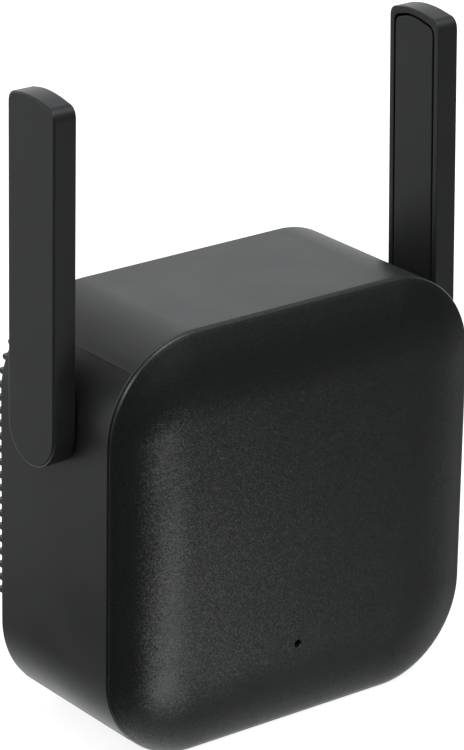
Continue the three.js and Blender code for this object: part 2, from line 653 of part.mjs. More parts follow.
function coaxLead(side) {
  const route = [
    [22.6, RADIO_BOARD_Y + 1.3, 2], [22.6, RADIO_BOARD_Y + 1.4, 6], [22.4, RADIO_BOARD_Y + 2.2, 10.5],
    [21.4, HINGE_Y - 2.8, 14.2], [21.2, HINGE_Y - 0.6, 15.7], [22.6, HINGE_Y, HINGE_Z],
    [24.6, HINGE_Y, HINGE_Z], [30.6, HINGE_Y, HINGE_Z],
  ].map(([x, y, z]) => new THREE.Vector3(side * x, y, z));
  const section = new THREE.Shape().absarc(0, 0, COAX_RADIUS, 0, Math.PI * 2);
  return new THREE.ExtrudeGeometry(section, {
    extrudePath: new THREE.CatmullRomCurve3(route), steps: 20, curveSegments: 4, bevelEnabled: false,
  });
}

function addAntenna(name, side) {
  const pivot = new THREE.Group();
  pivot.position.set(0, HINGE_Y, HINGE_Z);
  pivot.rotation.x = THREE.MathUtils.degToRad(ANTENNA_LEAN[name]);
  model.add(pivot);
  addPart(`antenna_shell_${name}`, antennaShell(side), satinBlack, pivot);
  addPart(`antenna_cover_${name}`, antennaCover(side), satinBlack, pivot);
  const element = box(ELEMENT_LOW, ELEMENT_HIGH);
  if (side < 0) element.translate(-ELEMENT_LOW[0] - ELEMENT_HIGH[0], 0, 0);
  addPart(`antenna_element_${name}`, element, amberFlex, pivot);
  addPart(`hinge_barrel_${name}`, hingeBarrel(side), innerBlack, pivot);
  addPart(`retaining_clip_${name}`, retainingClip(side), steel, pivot);

  const washer = ringX(WASHER_RADIUS, HINGE_BORE, side * WASHER_X[0], side * WASHER_X[1], 16);
  addPart(`friction_washer_${name}`, washer.translate(0, HINGE_Y, HINGE_Z), steel);
  addPart(`coax_lead_${name}`, coaxLead(side), blackSleeve);
}

// ---------------------------------------------------------------- screws
// Cross-recess screw: the head's rear face is at yHead and the shank runs towards -Y or +Y.
function screw(x, z, yHead, direction, length) {
  const headEnd = yHead + direction;
  const head = rod([x, yHead, z], [x, headEnd, z], SCREW_HEAD - (direction > 0 ? 0.5 : 0), 16);
  const shank = rod([x, yHead + 0.5 * direction, z], [x, yHead + length * direction, z], SCREW_SHANK, 8);
  const recessLow = Math.min(yHead - direction, yHead + 0.5 * direction);
  const recessHigh = Math.max(yHead - direction, yHead + 0.5 * direction);
  return carve(head, [shank], [
    block(x, z, 2.6, 0.6, recessLow, recessHigh),
    block(x, z, 0.6, 2.6, recessLow, recessHigh),
  ]);
}

function addScrews() {
  for (const [index, [x, z]] of SCREW_PLACES.entries()) {
    addPart(`case_screw_${index + 1}`, screw(x, z, CASING_REAR_Y + 0.1, -1, 9.5), steel);
  }
  for (const [name, side] of [['left', -1], ['right', 1]]) {
    const radioHeadY = RADIO_BOARD_FRONT_Y - GAP - 1;
    addPart(`radio_screw_${name}`, screw(side * RADIO_SCREW_X, RADIO_SCREW_Z, radioHeadY, 1, 7), steel);
    const powerHeadY = POWER_BOARD_FRONT_Y - GAP - 1;
    addPart(`power_screw_${name}`, screw(side * POWER_SCREW_X, POWER_SCREW_Z, powerHeadY, 1, 5), steel);
  }
}

// ---------------------------------------------------------------- assembly
addPart('front_cover', frontCover(), texturedBlack);
addPart('main_casing', mainCasing(), satinBlack);
addPart('rear_cover', rearCover(), satinBlack);
addPlug();
addPowerSupply();
addRadio();
addAntenna('left', -1);
addAntenna('right', 1);
addScrews();

export default model;
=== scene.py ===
import json
import math

import bmesh
import bpy
from mathutils import Matrix, Vector


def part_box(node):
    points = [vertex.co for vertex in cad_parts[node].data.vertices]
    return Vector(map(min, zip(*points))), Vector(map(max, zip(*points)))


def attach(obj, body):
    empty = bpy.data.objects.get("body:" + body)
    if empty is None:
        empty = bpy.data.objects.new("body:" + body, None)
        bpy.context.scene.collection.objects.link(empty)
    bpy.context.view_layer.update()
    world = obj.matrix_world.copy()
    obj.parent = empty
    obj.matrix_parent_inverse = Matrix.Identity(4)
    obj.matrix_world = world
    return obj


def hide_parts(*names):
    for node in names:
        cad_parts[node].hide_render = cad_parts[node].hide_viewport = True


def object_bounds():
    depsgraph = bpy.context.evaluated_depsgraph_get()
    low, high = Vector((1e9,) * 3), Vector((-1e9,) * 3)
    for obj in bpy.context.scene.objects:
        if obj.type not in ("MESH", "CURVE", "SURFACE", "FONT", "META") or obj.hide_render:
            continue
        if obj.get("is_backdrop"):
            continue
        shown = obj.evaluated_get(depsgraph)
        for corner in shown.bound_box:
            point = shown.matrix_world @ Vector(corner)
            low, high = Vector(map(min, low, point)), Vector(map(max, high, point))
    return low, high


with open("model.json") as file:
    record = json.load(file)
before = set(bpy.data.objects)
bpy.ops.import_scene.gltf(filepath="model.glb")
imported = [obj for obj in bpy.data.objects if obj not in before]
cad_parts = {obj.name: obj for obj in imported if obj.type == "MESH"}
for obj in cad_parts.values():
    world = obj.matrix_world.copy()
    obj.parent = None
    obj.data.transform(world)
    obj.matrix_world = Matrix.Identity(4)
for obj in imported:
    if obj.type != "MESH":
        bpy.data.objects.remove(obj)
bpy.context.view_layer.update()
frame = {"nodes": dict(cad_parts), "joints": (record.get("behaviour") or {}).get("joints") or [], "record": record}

MM = 0.001


# ---------------------------------------------------------------- sizes, in millimetres
def node_box(node):
    """Lowest and highest corner of a CAD node, in millimetres."""
    return [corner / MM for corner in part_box(node)]


CASING_LOW, CASING_HIGH = node_box("main_casing")
COVER_LOW, COVER_HIGH = node_box("front_cover")
BLADE_LOW, BLADE_HIGH = node_box("plug_blade_right")
HINGE = {joint["child"]: Vector(joint["pos_m"]) / MM for joint in frame["joints"] if "pos_m" in joint}

GAP = 0.3                # clearance between neighbouring pieces
HALF = CASING_HIGH.x
CORNER_RADIUS = 13.3
WALL = 1.8
RIB_HEIGHT = 1.3         # how far the ribs stand out from the back
FRONT_Y = CASING_LOW.y
REAR_Y = CASING_HIGH.y - RIB_HEIGHT

RIM_Y = FRONT_Y - 0.7    # depth of the line where the cover's face starts
DOME_RISE = RIM_Y - COVER_LOW.y
DOME_RUN = 12.0          # how far in from the outline the face goes on rising
DOME_CROWN = 0.12        # share of the rise that is lost towards the corners
DOME_FLATNESS = 2.2      # power that says how soon the face levels out
DOME_STEEPNESS = 1.35    # root that says how steeply it starts at the rim
SWELL = 0.1              # how far the mouth of the casing and the cover's rim stand out past the back
CHAMFER = [(0.07, -0.1), (-0.07, 0.12), (-SWELL, 0.17)]      # inset, and depth from the rim line
COVER_BACK_Y = RIM_Y + 0.26
CASING_MOUTH_Y = COVER_BACK_Y + GAP
COVER_THICKNESS = 1.6
COVER_LIP_Y = COVER_HIGH.y
LIP_THICKNESS = 1.1
LED_RADIUS = 0.5
LED_FLARE = 0.3
LED_Z = -18.3

BACK_INSET = WALL + GAP
BACK_THICKNESS = 2.0
BACK_INNER_Y = REAR_Y - BACK_THICKNESS
RIB_PITCH = 1.87
RIB_COUNT = 20
LOWEST_RIB_Z = -12.5
RIB_PLACES = [LOWEST_RIB_Z + RIB_PITCH * row for row in range(RIB_COUNT)]
RIB_THICKNESS = 0.65
RIB_INNER_X = 18.5
VENT_INNER_X = 19.5
VENT_EDGE = 1.6
PAD_HALF = (15.5, 9.0)
LABEL_HALF = (12.5, 4.5)
LABEL_Z = -17.5
LABEL_DEPTH = 0.3
SCREW_PLACES = [(-13.5, 24.6), (13.5, 24.6), (-13.5, -24.6), (13.5, -24.6)]
SCREW_HEAD = 2.4         # radius
SCREW_HEAD_Y = REAR_Y + 0.1
SHANK_RADIUS = 1.05
SHANK_REACH = 9.5        # from the top of the head to the end of the shank
CROSS_HALF = (1.3, 0.3)
CROSS_DEPTH = 0.75
CROSS_TAPER = 0.55       # share of the recess's width that is left at its floor
POST_RADIUS = 2.8
POST_FRONT_Y = -13.0
POST_WEB_HALF = 1.2      # half width of the web between a screw post and the wall
PILOT_RADIUS = 1.35
PILOT_FRONT_Y = -11.5
RESET = (13.0, -18.6)
RESET_PINHOLE = 0.8
RESET_PINHOLE_TOP = -27.5

BORE = 3.3
BORE_INNER_X = 25.0
BOSS_RADIUS = 5.2
BOSS_INNER_X = 26.6
BOSS_OUTER_X = 29.0
ANTENNA_INNER_X = 30.5
ANTENNA_OUTER_X = 34.0
ANTENNA_HALF_WIDTH = 5.1
ANTENNA_LENGTH = 45.7
ANTENNA_WALL = 0.9
ANTENNA_COVER = 1.0      # thickness
ANTENNA_HOLE_X = (29.0, 33.0)
TIP_FALL_FRONT = 0.8
TIP_FALL_BACK = 0.55
TIP_CORNER_FRONT = 1.7
TIP_CORNER_BACK = 1.4
TIP_RISE_FRONT = 0.15
TIP_RISE_BACK = 0.1
TIP_CROWN = (0.8, 0.3)   # where the tip's curve is pulled to: off the middle, and past the tip
LEAN = {"left": 0.2, "right": -2.0}
SIDES = {"left": -1, "right": 1}

BLADE_HALF_HEIGHT = BLADE_HIGH.z
BLADE_X = (BLADE_LOW.x + BLADE_HIGH.x) / 2
BLADE_HALF_THICKNESS = (BLADE_HIGH.x - BLADE_LOW.x) / 2
BLADE_TAPER = (1.6, 1.2)
BLADE_HOLE_RADIUS = 1.5
BLADE_HOLE_FROM_TIP = 5.0

CORNER_STEPS = [step / 24 for step in range(25)]
WITNESS_WIDTH = 0.0042   # share of the corner arc on each side of the mould's witness line
RIDGED_STEPS = sorted([*CORNER_STEPS, 0.5 - WITNESS_WIDTH, 0.5 + WITNESS_WIDTH])
WITNESS_HEIGHT = 0.05


# ---------------------------------------------------------------- mesh helpers
def arc(x, y, radius, start, end, steps=6):
    """Points on an arc about (x, y), from one angle to another in degrees."""
    turns = [math.radians(start + (end - start) * step / steps) for step in range(steps + 1)]
    return [(x + radius * math.cos(turn), y + radius * math.sin(turn)) for turn in turns]


def quadratic(start, control, end, steps=10):
    """Points of a quadratic curve, without its first point."""
    points = []
    for step in range(1, steps + 1):
        t = step / steps
        points.append(tuple((1 - t) ** 2 * a + 2 * t * (1 - t) * b + t ** 2 * c
                            for a, b, c in zip(start, control, end)))
    return points


def body_ring(inset, y, corner_steps=CORNER_STEPS, side_steps=1, ridge=0.0):
    """Rounded-square ring of the body's outline, drawn in by an inset, at one depth."""
    radius = CORNER_RADIUS - inset
    reach = HALF - CORNER_RADIUS
    corners = []
    for quarter, (side_x, side_z) in enumerate([(1, 1), (-1, 1), (-1, -1), (1, -1)]):
        corner = []
        for share in corner_steps:
            turn = (quarter + share) * math.pi / 2
            reached = radius + (ridge if share == 0.5 else 0)
            corner.append(Vector((side_x * reach + reached * math.cos(turn), y,
                                  side_z * reach + reached * math.sin(turn))))
        corners.append(corner)
    ring = []
    for quarter, corner in enumerate(corners):
        after = corners[(quarter + 1) % 4][0]
        ring += corner
        ring += [corner[-1].lerp(after, step / side_steps) for step in range(1, side_steps)]
    return ring


def skin(rings, joined=False):
    """Closed mesh through rings of equal length: last joined to first, or capped at both ends."""
    mesh = bmesh.new()
    levels = [[mesh.verts.new(point) for point in ring] for ring in rings]
    spans = list(zip(levels, levels[1:]))
    if joined:
        spans.append((levels[-1], levels[0]))
    else:
        mesh.faces.new(levels[0])
        mesh.faces.new(levels[-1])
    for one, two in spans:
        for step in range(len(one)):
            after = (step + 1) % len(one)
            mesh.faces.new((one[step], one[after], two[after], two[step]))
    bmesh.ops.recalc_face_normals(mesh, faces=mesh.faces)
    return mesh


def body_skin(profile):
    """Skin of the body's outline through a profile of (inset, y)."""
    return skin([body_ring(inset, y) for inset, y in profile])


def turned(profile, place, axis="Y", steps=40):
    """Solid of revolution about an axis through a place, from a profile of (radius, distance)."""
    rings = []
    for radius, along in profile:
        ring = []
        for step in range(steps):
            turn = 2 * math.pi * step / steps
            across, up = radius * math.cos(turn), radius * math.sin(turn)
            point = {"X": (along, across, up), "Y": (across, along, up), "Z": (across, up, along)}[axis]
            ring.append(Vector(place) + Vector(point))
        rings.append(ring)
    return skin(rings)


def rounded_outline(half_width, half_height, radius):
    """Rounded rectangle about the origin as a list of pairs."""
    across, up = half_width - radius, half_height - radius
    corners = [(across, up, 0), (-across, up, 90), (-across, -up, 180), (across, -up, 270)]
    return [point for x, z, start in corners for point in arc(x, z, radius, start, start + 90)]


def plate(half_width, half_height, radius, profile, centre=(0, 0)):
    """Rounded rectangular plate facing Y, from a profile of (inset, y)."""
    rings = []
    for inset, y in profile:
        outline = rounded_outline(half_width - inset, half_height - inset, max(radius - inset, 0.05))
        rings.append([Vector((centre[0] + x, y, centre[1] + z)) for x, z in outline])
    return skin(rings)


def together(meshes):
    """Several separate meshes as one."""
    whole = bmesh.new()
    for mesh in meshes:
        data = bpy.data.meshes.new("part")
        mesh.to_mesh(data)
        mesh.free()
        whole.from_mesh(data)
        bpy.data.meshes.remove(data)
    return whole


def scratch_object(mesh):
    data = bpy.data.meshes.new("scratch")
    mesh.to_mesh(data)
    mesh.free()
    made = bpy.data.objects.new("scratch", data)
    bpy.context.scene.collection.objects.link(made)
    return made


def boolean(base, others, operation):
    """The base mesh cut by the others, or joined with them. The others don't touch each other."""
    target, tool = scratch_object(base), scratch_object(together(others))
    modifier = target.modifiers.new("shape", "BOOLEAN")
    modifier.operation = operation
    modifier.solver = "MANIFOLD"
    modifier.object = tool
    result = bmesh.new()
    result.from_object(target, bpy.context.evaluated_depsgraph_get())
    for made in (target, tool):
        data = made.data
        bpy.data.objects.remove(made)
        bpy.data.meshes.remove(data)
    return result


def cut(base, *others):
    return boolean(base, others, "DIFFERENCE")


def join(base, *others):
    return boolean(base, others, "UNION")


def flared_cutter(place, axis, radius, mouth, depth, flare=0.12):
    """Cutter for a round hole whose mouth is broken by a small radius. Mouth and depth are distances."""
    way = 1 if depth > mouth else -1
    edge = [(radius + flare - across, mouth + way * (flare - along))
            for across, along in arc(0, 0, flare, 90, 0, 4)]
    profile = [(radius + flare, mouth - 2 * way), *edge, (radius, depth)]
    return turned(profile, place, axis)


SHARP_ANGLE = math.radians(32)


def piece(name, mesh, material, slot, body, *nodes):
    """A finished piece from a mesh in millimetres, riding on its body in place of its CAD nodes."""
    bmesh.ops.remove_doubles(mesh, verts=mesh.verts, dist=0.0005)
    bmesh.ops.scale(mesh, vec=(MM, MM, MM), verts=mesh.verts)
    for face in mesh.faces:
        face.smooth = True
    for edge in mesh.edges:
        edge.smooth = edge.calc_face_angle(0) < SHARP_ANGLE
    data = bpy.data.meshes.new(name)
    mesh.to_mesh(data)
    mesh.free()
    made = bpy.data.objects.new(name, data)
    bpy.context.scene.collection.objects.link(made)
    data.materials.append(material)
    even = made.modifiers.new("even_normals", "WEIGHTED_NORMAL")
    even.keep_sharp = True
    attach(made, body)
    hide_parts(*nodes)


# ---------------------------------------------------------------- camera
# A separate program fitted these to the object's edges in the photo. The turn is from world to view,
# its axis times its angle in radians, with the view's axes pointing right, down and forward.
CAMERA_LENS = 199.0                               # millimetres
CAMERA_PLACE = (-0.31979, -0.42238, 0.22352)      # metres
CAMERA_TURN = (1.8757158, -0.6272886, 0.4468222)


def add_camera():
    camera = bpy.data.objects.new("camera", bpy.data.cameras.new("camera"))
    bpy.context.scene.collection.objects.link(camera)
    camera.data.sensor_width = 36
    camera.data.lens = CAMERA_LENS
    camera.data.clip_start = 0.05
    camera.location = CAMERA_PLACE
    turn = Vector(CAMERA_TURN)
    world_to_view = Matrix.Rotation(turn.length, 3, turn.normalized())
    right, down, forward = world_to_view.row
    axes = Matrix((right, -down, -forward)).transposed()
    camera.rotation_mode = "QUATERNION"
    camera.rotation_quaternion = axes.to_quaternion()
    bpy.context.scene.camera = camera


# ---------------------------------------------------------------- materials
PLASTIC_REFLECTION = 0.3     # specular level of the black mouldings
FACET_SIZE = 0.19            # millimetres
FACET_TILT = 0.055           # spread of a facet's normal, as a share of its length


class Nodes:
    """Short calls for building one material's node tree."""

    def __init__(self, name):
        self.name = name
        self.material = bpy.data.materials.new(name + "_look")
        self.material.use_nodes = True
        self.tree = self.material.node_tree
        self.shader = self.tree.nodes["Principled BSDF"]
        self.place = self.add("ShaderNodeTexCoord").outputs["Object"]

    def add(self, kind, links=None, **settings):
        node = self.tree.nodes.new(kind)
        for key, value in settings.items():
            setattr(node, key, value)
        for key, value in (links or {}).items():
            if isinstance(value, bpy.types.NodeSocket):
                self.tree.links.new(value, node.inputs[key])
            else:
                node.inputs[key].default_value = value
        return node

    def link(self, output, key):
        self.tree.links.new(output, self.shader.inputs[key])

    def set(self, **values):
        for key, value in values.items():
            self.shader.inputs[key.replace("_", " ")].default_value = value

    def noise(self, size, detail=2.0, roughness=0.5, vector=None):
        """Noise whose features are about that size in millimetres."""
        links = {"Vector": vector or self.place, "Scale": 1 / (size * MM), "Detail": detail,
                 "Roughness": roughness}
        return self.add("ShaderNodeTexNoise", links).outputs["Fac"]

    def cells(self, size):
        """Voronoi cells of about that size in millimetres, as their node."""
        links = {"Vector": self.place, "Scale": 1 / (size * MM)}
        return self.add("ShaderNodeTexVoronoi", links, feature="F1")

    def between(self, value, low, high, start=0.0, end=1.0):
        """The value, stretched from low..high to start..end and clamped."""
        links = {"Value": value, "From Min": low, "From Max": high, "To Min": start, "To Max": end}
        return self.add("ShaderNodeMapRange", links).outputs["Result"]

    def mix(self, share, one, two):
        """Two colours mixed by a share."""
        node = self.add("ShaderNodeMix", {"Factor": share}, data_type="RGBA")
        for socket, value in zip((node.inputs[6], node.inputs[7]), (one, two)):
            if isinstance(value, bpy.types.NodeSocket):
                self.tree.links.new(value, socket)
            else:
                socket.default_value = (*value, 1)
        return node.outputs[2]

    def vector(self, operation, *values):
        links = dict(enumerate(values))
        return self.add("ShaderNodeVectorMath", links, operation=operation).outputs["Vector"]

    def math(self, operation, one, two=0.0):
        node = self.add("ShaderNodeMath", {0: one, 1: two}, operation=operation)
        return node.outputs["Value"]

    def facets(self, size, tilt, under):
        """Normal that leans another way in every cell of that size in millimetres."""
        spread = self.cells(size).outputs["Color"]
        leaning = self.vector("MULTIPLY_ADD", spread, (tilt, tilt, tilt), under)
        centred = self.vector("SUBTRACT", leaning, (tilt / 2, tilt / 2, tilt / 2))
        return self.vector("NORMALIZE", centred)

    def bump(self, height, depth, strength=1.0):
        """Bump of that depth in millimetres."""
        links = {"Height": height, "Distance": depth * MM, "Strength": strength}
        return self.add("ShaderNodeBump", links).outputs["Normal"]


def speck_mask(nodes, spacing, share, radius):
    """Mask of small round specks: one in some of the cells of that spacing, in millimetres."""
    voronoi = nodes.cells(spacing)
    chosen = nodes.add("ShaderNodeSeparateColor", {"Color": voronoi.outputs["Color"]}).outputs["Red"]
    picked = nodes.math("GREATER_THAN", chosen, 1 - share)
    near = nodes.between(voronoi.outputs["Distance"], radius / spacing, 0.6 * radius / spacing)
    return nodes.math("MULTIPLY", picked, near)


def spark_eroded_plastic(name, dark, light, roughness):
    """Spark-eroded black plastic: a fine grain, facets that glint, and a few smoother specks with painted glints.
    """
    nodes = Nodes(name)
    grain = nodes.noise(0.22, detail=2.0, roughness=0.5)
    cloud = nodes.noise(6.0, detail=3.0)
    speckle = nodes.between(grain, 0.42, 0.68)
    color = nodes.mix(speckle, dark, light)
    # A few specks that are a little smoother and painted lighter: the pale grey mixed in at them is a painted
    # glint.
    smooth_specks_with_painted_glint = speck_mask(nodes, 0.8, 0.1, 0.08)
    color = nodes.mix(nodes.math("MULTIPLY", smooth_specks_with_painted_glint, 0.15), color, (0.2, 0.19, 0.17))
    nodes.link(color, "Base Color")
    rough = nodes.between(cloud, 0.3, 0.7, roughness - 0.03, roughness + 0.03)
    nodes.link(nodes.math("SUBTRACT", rough, nodes.math("MULTIPLY", smooth_specks_with_painted_glint, 0.15)), "Roughness")
    nodes.link(nodes.facets(FACET_SIZE, FACET_TILT, nodes.bump(grain, 0.012)), "Normal")
    return nodes


def satin_plastic(name, dark, light, roughness, grain_size=0.14, depth=0.006):
    """Fine satin moulded plastic with faint flow clouds and a few specks of dust."""
    nodes = Nodes(name)
    cloud = nodes.noise(9.0, detail=4.0, roughness=0.6)
    grain = nodes.noise(grain_size, detail=2.0)
    color = nodes.mix(nodes.between(cloud, 0.35, 0.65), dark, light)
    dust = speck_mask(nodes, 3.2, 0.14, 0.1)
    color = nodes.mix(nodes.math("MULTIPLY", dust, 0.5), color, (0.3, 0.3, 0.29))
    nodes.link(color, "Base Color")
    rough = nodes.between(cloud, 0.3, 0.7, roughness - 0.03, roughness + 0.03)
    fine = nodes.between(grain, 0.3, 0.7, -0.02, 0.02)
    nodes.link(nodes.math("ADD", rough, fine), "Roughness")
    nodes.link(nodes.bump(grain, depth, 0.6), "Normal")
    return nodes


def metal(name, dark, light, roughness, streak=(1, 1, 1)):
    """Plated or drawn metal with fine streaks along one axis."""
    nodes = Nodes(name)
    stretched = nodes.add("ShaderNodeMapping", {"Vector": nodes.place, "Scale": streak}).outputs["Vector"]
    lines = nodes.noise(0.12, detail=3.0, vector=stretched)
    cloud = nodes.noise(2.5, detail=3.0)
    nodes.link(nodes.mix(nodes.between(cloud, 0.3, 0.7), dark, light), "Base Color")
    nodes.link(nodes.between(lines, 0.25, 0.75, roughness - 0.08, roughness + 0.08), "Roughness")
    nodes.link(nodes.bump(lines, 0.0012, 0.5), "Normal")
    nodes.set(Metallic=1.0)
    return nodes


def plain_moulding(name, dark, light, roughness, grain_size=0.3, depth=0.008):
    """Plain moulded or coated surface with slight clouds and grain."""
    nodes = Nodes(name)
    cloud = nodes.noise(4.0, detail=3.0)
    grain = nodes.noise(grain_size, detail=2.0)
    nodes.link(nodes.mix(nodes.between(cloud, 0.3, 0.7), dark, light), "Base Color")
    nodes.link(nodes.between(grain, 0.3, 0.7, roughness - 0.04, roughness + 0.04), "Roughness")
    nodes.link(nodes.bump(grain, depth, 0.6), "Normal")
    return nodes


def solder_mask(name):
    """Green board with copper tracks under the resist, worked out from square cells."""
    nodes = Nodes(name)
    links = {"Vector": nodes.place, "Scale": 1 / (1.9 * MM), "Randomness": 0.85}
    cells = nodes.add("ShaderNodeTexVoronoi", links, feature="F1", distance="MANHATTAN")
    tracks = nodes.between(cells.outputs["Distance"], 0.36, 0.4)
    weave = nodes.noise(0.2, detail=1.0)
    under = nodes.mix(nodes.between(weave, 0.35, 0.65), (0.008, 0.05, 0.022), (0.012, 0.065, 0.03))
    nodes.link(nodes.mix(tracks, under, (0.02, 0.12, 0.05)), "Base Color")
    nodes.link(nodes.between(weave, 0.3, 0.7, 0.28, 0.36), "Roughness")
    nodes.link(nodes.bump(tracks, 0.03, 0.6), "Normal")
    return nodes


def make_materials():
    cover = spark_eroded_plastic("cover_plastic", (0.0075, 0.0078, 0.0081), (0.0105, 0.011, 0.0112), 0.14)
    casing = satin_plastic("casing_plastic", (0.008, 0.0081, 0.0085), (0.0105, 0.0107, 0.0112), 0.38)
    antenna = satin_plastic("antenna_plastic", (0.008, 0.0083, 0.0088), (0.0105, 0.0108, 0.0115), 0.4)
    for nodes in (cover, casing, antenna):
        nodes.set(Specular_IOR_Level=PLASTIC_REFLECTION)
    clear = plain_moulding("clear_plastic", (0.75, 0.79, 0.8), (0.82, 0.86, 0.87), 0.14, depth=0.002)
    clear.set(Transmission_Weight=0.85, IOR=1.49)
    rows = [
        cover, casing, antenna, clear,
        plain_moulding("inner_plastic", (0.01, 0.01, 0.011), (0.016, 0.016, 0.017), 0.5),
        plain_moulding("nylon", (0.62, 0.59, 0.52), (0.7, 0.68, 0.61), 0.45),
        metal("nickel", (0.62, 0.6, 0.56), (0.72, 0.7, 0.66), 0.26, streak=(1, 0.05, 1)),
        metal("steel", (0.46, 0.46, 0.45), (0.58, 0.58, 0.57), 0.34),
        metal("brass", (0.6, 0.42, 0.16), (0.72, 0.54, 0.25), 0.3, streak=(0.1, 1, 1)),
        solder_mask("board"),
        plain_moulding("ferrite", (0.018, 0.018, 0.02), (0.04, 0.04, 0.042), 0.7, depth=0.03),
        plain_moulding("tape", (0.62, 0.4, 0.05), (0.72, 0.5, 0.09), 0.4),
        metal("copper", (0.5, 0.2, 0.07), (0.62, 0.28, 0.12), 0.3, streak=(1, 0.1, 1)),
        plain_moulding("flex", (0.36, 0.15, 0.03), (0.46, 0.2, 0.05), 0.35),
        plain_moulding("epoxy", (0.02, 0.09, 0.32), (0.03, 0.13, 0.42), 0.25),
        plain_moulding("sleeve", (0.006, 0.006, 0.007), (0.012, 0.012, 0.013), 0.3),
        plain_moulding("pad", (0.24, 0.26, 0.28), (0.32, 0.34, 0.36), 0.8),
    ]
    return {nodes.name: nodes.material for nodes in rows}


# ---------------------------------------------------------------- front cover
def dome_share(inset):
    """Share of the dome's rise at an inset from the outline: steep at the rim, flat at its run."""
    if inset >= DOME_RUN:
        return 1.0
    return (1 - (1 - inset / DOME_RUN) ** DOME_FLATNESS) ** (1 / DOME_STEEPNESS)


def dome_ring(inset, shrink, thickness=0.0):
    """Ring on the cover's face. Past the dome's run the rings shrink towards the middle."""
    ring = body_ring(min(inset, DOME_RUN), 0, side_steps=14)
    for point in ring:
        point.x *= shrink
        point.z *= shrink
        crown = 1 - DOME_CROWN * (point.x ** 2 + point.z ** 2) / (2 * (HALF - DOME_RUN) ** 2)
        crown = max(crown, 1 - DOME_CROWN)
        point.y = RIM_Y - DOME_RISE * dome_share(inset) * crown + thickness
    return ring


def front_cover():
    shrinks = [0.004, 0.1, 0.2, 0.3, 0.4, 0.5, 0.6, 0.7, 0.8, 0.9]
    insets = [DOME_RUN * (1 - math.cos(math.pi / 2 * step / 18)) for step in range(18, 2, -1)]
    rings = [dome_ring(DOME_RUN, shrink) for shrink in shrinks]
    start = CHAMFER[0][0]
    rings += [dome_ring(inset, 1) for inset in [*insets, start + 0.1, start + 0.05] if inset > start]
    edge, lip, round_edge = 0.06, BACK_INSET, 0.25
    profile = [(inset, RIM_Y + depth) for inset, depth in CHAMFER]
    profile += arc(edge - SWELL, COVER_BACK_Y - edge, edge, 180, 90, 4)
    profile += [(lip - 0.2, COVER_BACK_Y), *arc(lip - 0.2, COVER_BACK_Y + 0.2, 0.2, -90, 0, 4)]
    profile += arc(lip + round_edge, COVER_LIP_Y - round_edge, round_edge, 180, 90, 4)
    inner = lip + LIP_THICKNESS
    profile += arc(inner - round_edge, COVER_LIP_Y - round_edge, round_edge, 90, 0, 4)
    profile += [(inner, RIM_Y + 0.5)]
    rings += [body_ring(inset, y, side_steps=14) for inset, y in profile]
    rings += [dome_ring(inset, 1, COVER_THICKNESS) for inset in reversed(insets) if inset > inner + 0.4]
    rings += [dome_ring(DOME_RUN, shrink, COVER_THICKNESS) for shrink in reversed(shrinks)]
    led_hole = flared_cutter((0, 0, LED_Z), "Y", LED_RADIUS, COVER_LOW.y + 0.04, RIM_Y + 1, LED_FLARE)
    return cut(skin(rings), led_hole)


# ---------------------------------------------------------------- ribs and teeth on the back
def outline_x(inset, z):
    """Half width of the body's outline, drawn in by an inset, at a height."""
    reach = HALF - CORNER_RADIUS
    if abs(z) <= reach:
        return HALF - inset
    return reach + math.sqrt((CORNER_RADIUS - inset) ** 2 - (abs(z) - reach) ** 2)


def rib(x_inner, x_outer, z, y_root, y_top, round_inner, round_outer):
    """Bar along X with a half-round back, its ends rounded down where asked."""
    half = RIB_THICKNESS / 2
    turn = 0.55
    places = []
    if round_inner:
        places += [(x_inner + turn * (1 - math.cos(a)), turn * (1 - math.sin(a)))
                   for a in [math.pi / 2 * step / 5 for step in range(6)]]
    else:
        places.append((x_inner, 0))
    if round_outer:
        places += [(x_outer - turn * (1 - math.cos(a)), turn * (1 - math.sin(a)))
                   for a in [math.pi / 2 * step / 5 for step in range(5, -1, -1)]]
    else:
        places.append((x_outer, 0))
    rings = []
    for x, fall in places:
        top = y_top - fall
        section = [(-half, y_root), (half, y_root), *[(-across, along) for across, along in
                   arc(0, top - half, half, 180, 0, 8)]]
        rings.append([Vector((x, along, z + across)) for across, along in section])
    return rings


def mirrored(rings, side):
    return skin([[Vector((side * point.x, point.y, point.z)) for point in ring] for ring in rings])


def rib_set(outer_inset, inner_inset, y_root, round_inner, round_outer):
    """The ribs between two insets of the outline, or from the ribs' inner ends to one."""
    half = RIB_THICKNESS / 2
    bars = []
    for z in RIB_PLACES:
        x_outer = min(outline_x(outer_inset, z + half), outline_x(outer_inset, z - half))
        x_inner = RIB_INNER_X
        if inner_inset is not None:
            x_inner = max(outline_x(inner_inset, z + half), outline_x(inner_inset, z - half))
        for side in SIDES.values():
            rings = rib(x_inner, x_outer, z, y_root, CASING_HIGH.y, round_inner, round_outer)
            bars.append(mirrored(rings, side))
    return bars


